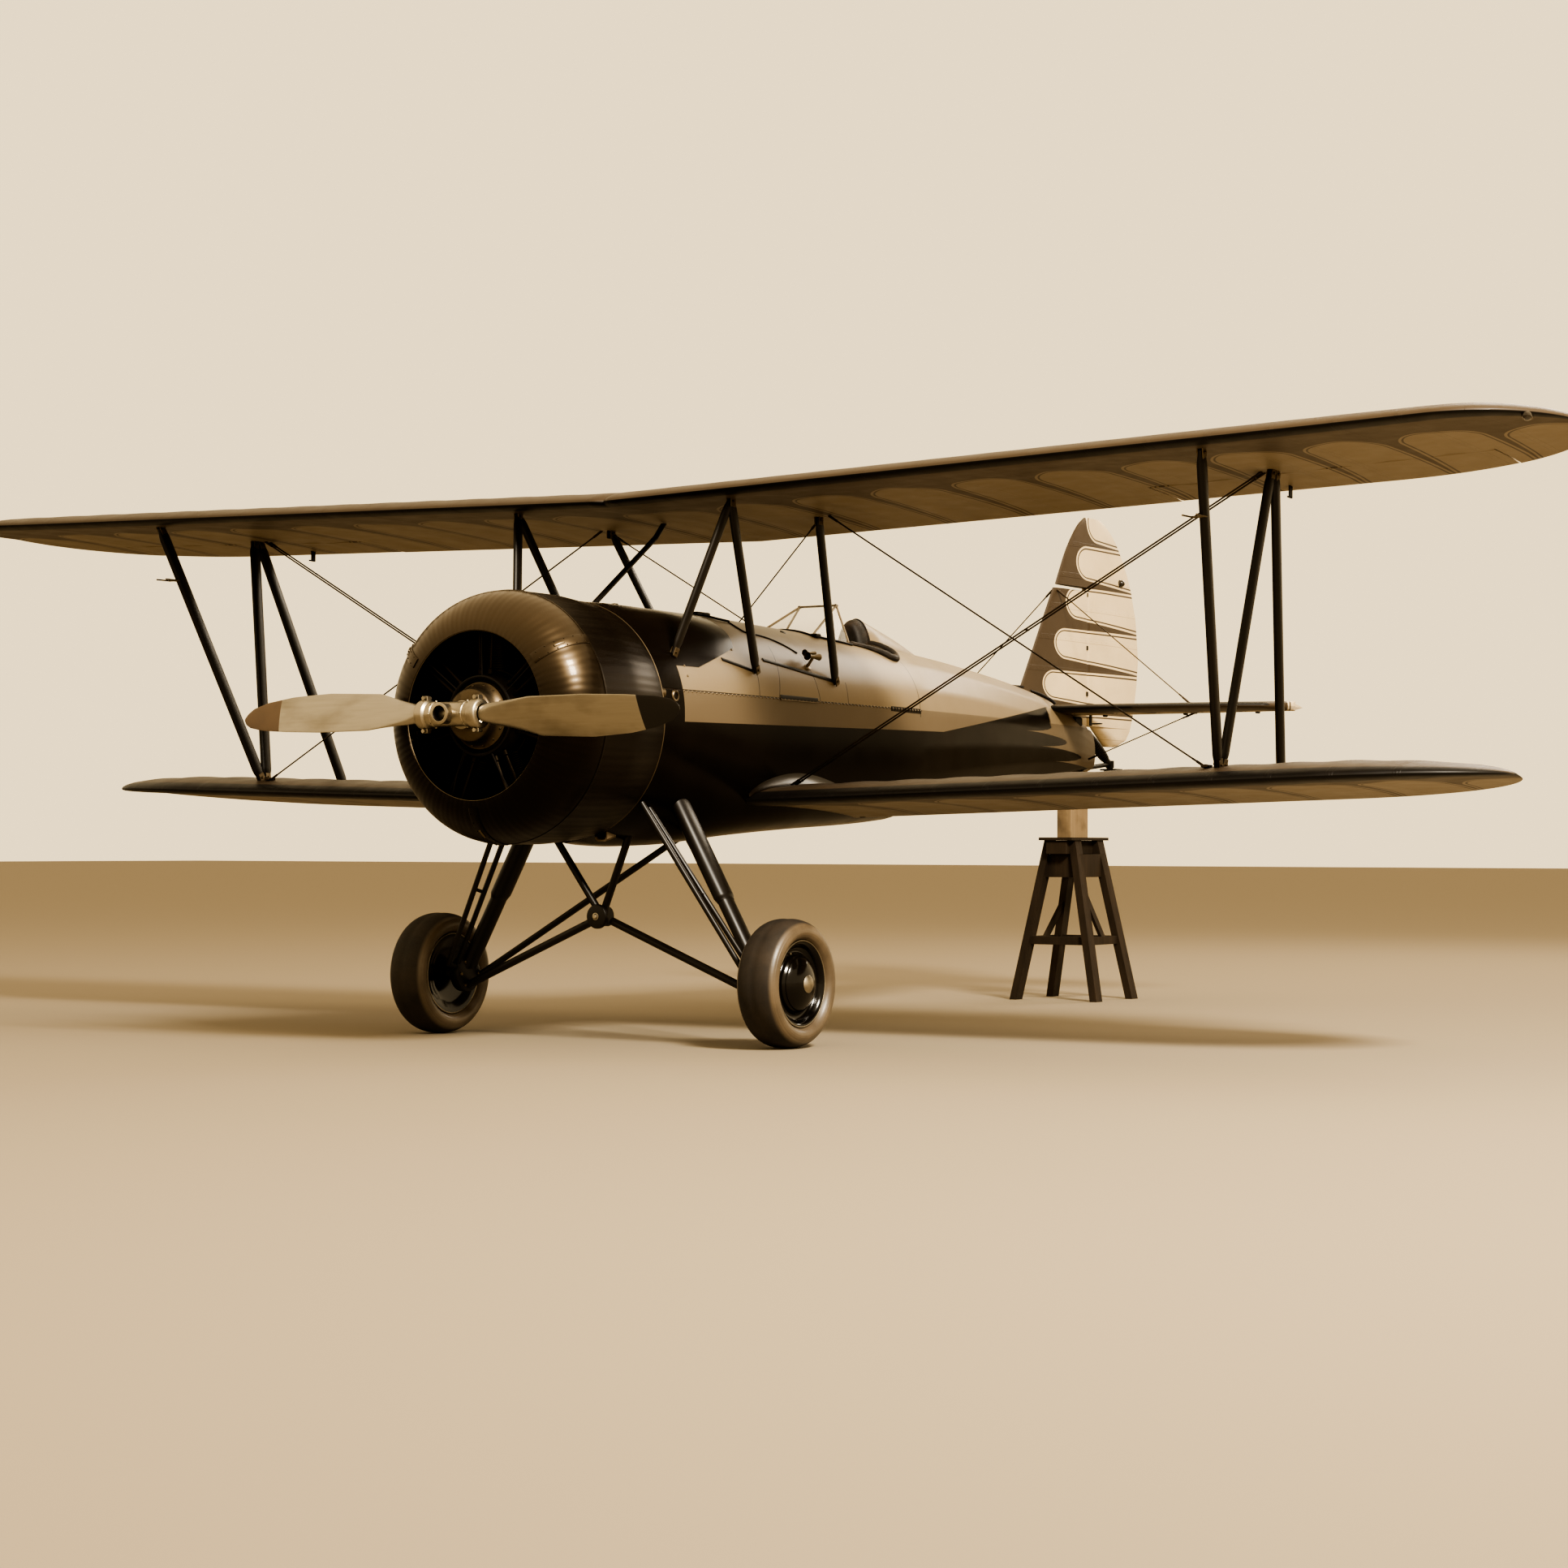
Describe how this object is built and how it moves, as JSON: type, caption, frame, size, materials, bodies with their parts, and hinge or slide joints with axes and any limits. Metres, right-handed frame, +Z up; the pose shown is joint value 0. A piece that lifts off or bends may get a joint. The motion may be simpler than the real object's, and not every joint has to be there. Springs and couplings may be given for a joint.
{
  "type": "biplane",
  "caption": "Open-cockpit biplane with a cowled radial engine, fixed split-axle gear and a wooden trestle that holds its tail level.",
  "frame": {"origin": "on the ground, midway along the length and span of the parked aircraft", "axes": "+X towards the left wing tip, +Y aft, +Z up; the nose points to -Y"},
  "size_m": [9.4284, 7.128, 3.03],
  "materials": {
    "paint_dark": "gloss near-black brown",
    "paint_cream": "satin cream dope",
    "strut_paint": "satin black",
    "blade_metal": "satin polished",
    "steel": "satin",
    "engine_metal": "dark cast",
    "tyre": "worn rubber",
    "wheel_paint": "gloss black",
    "interior": "matt primer",
    "wood": "weathered boards",
    "glass": "clear panes in a thin frame",
    "leather": "dark worn leather"
  },
  "bodies": {
    "root": {"cowl_ring": "paint_dark", "cowl_skirt": "paint_dark", "fuselage_nose": "paint_dark", "fuselage": "paint_cream", "headrest_fairing": "paint_cream", "tailplane": "paint_cream", "fin": "paint_cream", "upper_wing_left": "paint_cream", "lower_wing_left": "paint_cream", "upper_wing_right": "paint_cream", "lower_wing_right": "paint_cream", "tail_wheel_leg": "strut_paint", "gear_apex": "strut_paint", "strut_front_left": "strut_paint", "strut_diagonal_left": "strut_paint", "strut_rear_left": "strut_paint", "cabane_front_left": "strut_paint", "cabane_rear_left": "strut_paint", "gear_leg_left": "strut_paint", "gear_front_strut_left": "strut_paint", "gear_drag_strut_left": "strut_paint", "gear_axle_left": "strut_paint", "strut_front_right": "strut_paint", "strut_diagonal_right": "strut_paint", "strut_rear_right": "strut_paint", "cabane_front_right": "strut_paint", "cabane_rear_right": "strut_paint", "gear_leg_right": "strut_paint", "gear_front_strut_right": "strut_paint", "gear_drag_strut_right": "strut_paint", "gear_axle_right": "strut_paint", "control_stick": "steel", "flying_wires_left": "steel", "landing_wire_left": "steel", "flying_wires_right": "steel", "landing_wire_right": "steel", "engine": "engine_metal", "seat": "interior", "instrument_panel": "interior", "trestle": "wood", "tail_block": "wood", "windshield": "glass", "cockpit_coaming": "leather", "headrest_pad": "leather", "fuel_pipe": "strut_paint", "exhaust_pipe": "steel"},
    "propeller": {"propeller_hub": "steel", "propeller_blade_left": "blade_metal", "propeller_blade_right": "blade_metal"},
    "wheel_left": {"wheel_hub_left": "wheel_paint", "tyre_left": "tyre"},
    "wheel_right": {"wheel_hub_right": "wheel_paint", "tyre_right": "tyre"},
    "tail_fork": {"tail_wheel_fork": "strut_paint"},
    "tail_wheel": {"tail_tyre": "tyre", "tail_wheel_hub": "wheel_paint"},
    "rudder": {"rudder": "paint_cream"},
    "elevators": {"elevators": "paint_cream"},
    "aileron_left": {"aileron_left": "paint_cream"},
    "aileron_right": {"aileron_right": "paint_cream"}
  },
  "joints": [
    {"name": "propeller_spin", "type": "hinge", "parent": "root", "child": "propeller", "pos_m": [0, -3.469, 1.556], "axis": [0, 1, 0], "continuous": true},
    {"name": "wheel_left_spin", "type": "hinge", "parent": "root", "child": "wheel_left", "pos_m": [1.052, -2.264, 0.306], "axis": [1, 0, 0], "continuous": true},
    {"name": "wheel_right_spin", "type": "hinge", "parent": "root", "child": "wheel_right", "pos_m": [-1.052, -2.264, 0.306], "axis": [1, 0, 0], "continuous": true},
    {"name": "tail_fork_swivel", "type": "hinge", "parent": "root", "child": "tail_fork", "pos_m": [0, 3.161, 1.45], "axis": [0, 0, 1], "range_deg": [-35, 35]},
    {"name": "tail_wheel_spin", "type": "hinge", "parent": "tail_fork", "child": "tail_wheel", "pos_m": [0, 3.216, 1.335], "axis": [1, 0, 0], "continuous": true},
    {"name": "rudder_hinge", "type": "hinge", "parent": "root", "child": "rudder", "pos_m": [0, 2.83, 2.1], "axis": [0, 0, 1], "range_deg": [-28, 28]},
    {"name": "elevator_hinge", "type": "hinge", "parent": "root", "child": "elevators", "pos_m": [0, 2.716, 1.8], "axis": [1, 0, 0], "range_deg": [-24, 26]},
    {"name": "aileron_left_hinge", "type": "hinge", "parent": "root", "child": "aileron_left", "pos_m": [2.45, -1.237, 2.68504], "axis": [0.9996, 0, 0.029], "range_deg": [-22, 22]},
    {"name": "aileron_right_hinge", "type": "hinge", "parent": "root", "child": "aileron_right", "pos_m": [-2.45, -1.237, 2.68504], "axis": [0.9996, 0, -0.029], "range_deg": [-22, 22]}
  ],
  "couplings": [
    {"joint": "aileron_right_hinge", "follows": "aileron_left_hinge", "ratio": -1}
  ]
}
